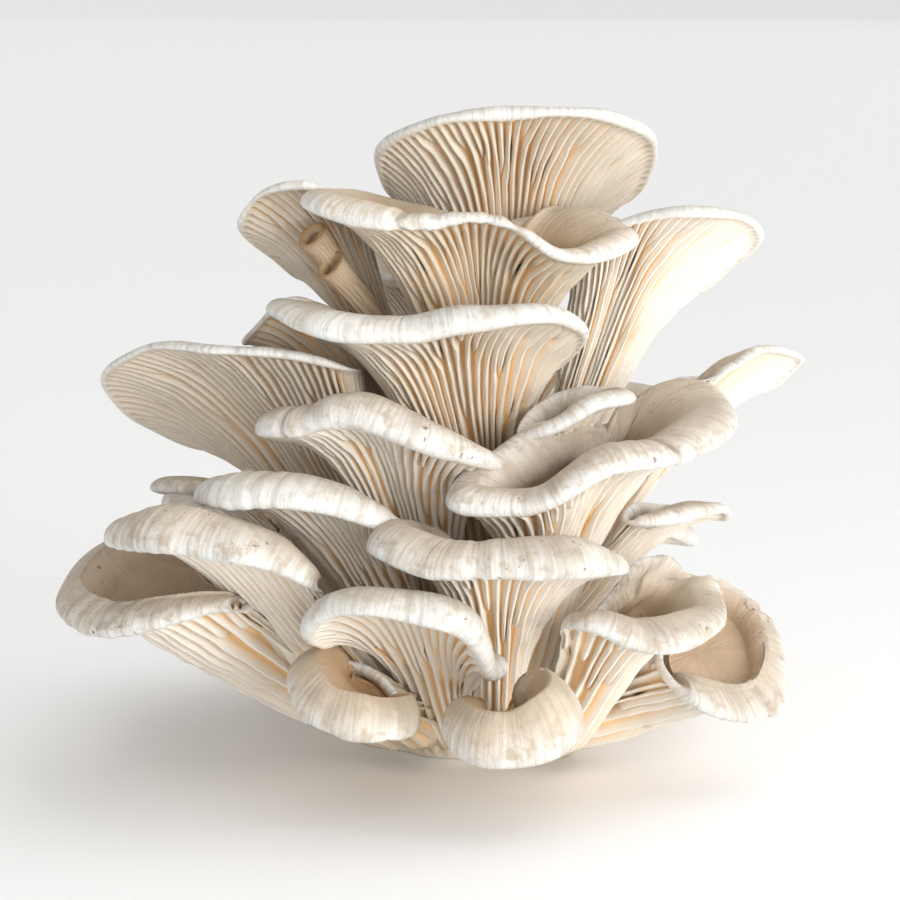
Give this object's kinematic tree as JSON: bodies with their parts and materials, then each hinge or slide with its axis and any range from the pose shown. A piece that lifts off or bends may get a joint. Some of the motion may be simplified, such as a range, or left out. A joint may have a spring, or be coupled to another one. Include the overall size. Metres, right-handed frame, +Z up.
{
  "type": "oyster mushroom cluster",
  "caption": "Cluster of fan-shaped oyster mushrooms with gilled undersides and curled lips, grown together on one fused base with a flat cut face.",
  "frame": {"origin": "middle of the cluster's foot in plan, on the flat cut face under the base", "axes": "+Z up from the cut face to the crown, -Y the side with the most cap fronts, +X to the right when looking at that side"},
  "size_m": [0.2369, 0.2143, 0.207],
  "materials": {
    "flesh": "matt cream-white flesh with fine fibres on the tops and paler gills below",
    "base_flesh": "matt tan-cream fused stem flesh",
    "young_flesh": "matt tan young flesh with browner rims"
  },
  "bodies": {
    "root": {"base": "base_flesh", "centre": "flesh", "crown": "flesh", "front_left": "flesh", "front_left_small": "flesh", "front_middle": "flesh", "front_right_small": "flesh", "left_edge": "flesh", "left_fan": "flesh", "left_ledge": "flesh", "left_low": "flesh", "left_lower_middle": "flesh", "left_middle": "flesh", "rear_foot_left": "flesh", "rear_foot_right": "flesh", "rear_left": "flesh", "rear_low_left": "flesh", "rear_low_middle": "flesh", "rear_low_right": "flesh", "rear_middle": "flesh", "rear_right": "flesh", "rear_upper": "flesh", "right_bowl": "flesh", "right_far": "flesh", "right_inner": "flesh", "right_ledge": "flesh", "right_low": "flesh", "right_small": "flesh", "shaded_left": "flesh", "side_left": "flesh", "side_right": "flesh", "upper_left": "flesh", "upper_middle": "flesh", "upper_right": "flesh", "young_lower": "young_flesh", "young_upper": "young_flesh"}
  },
  "joints": []
}
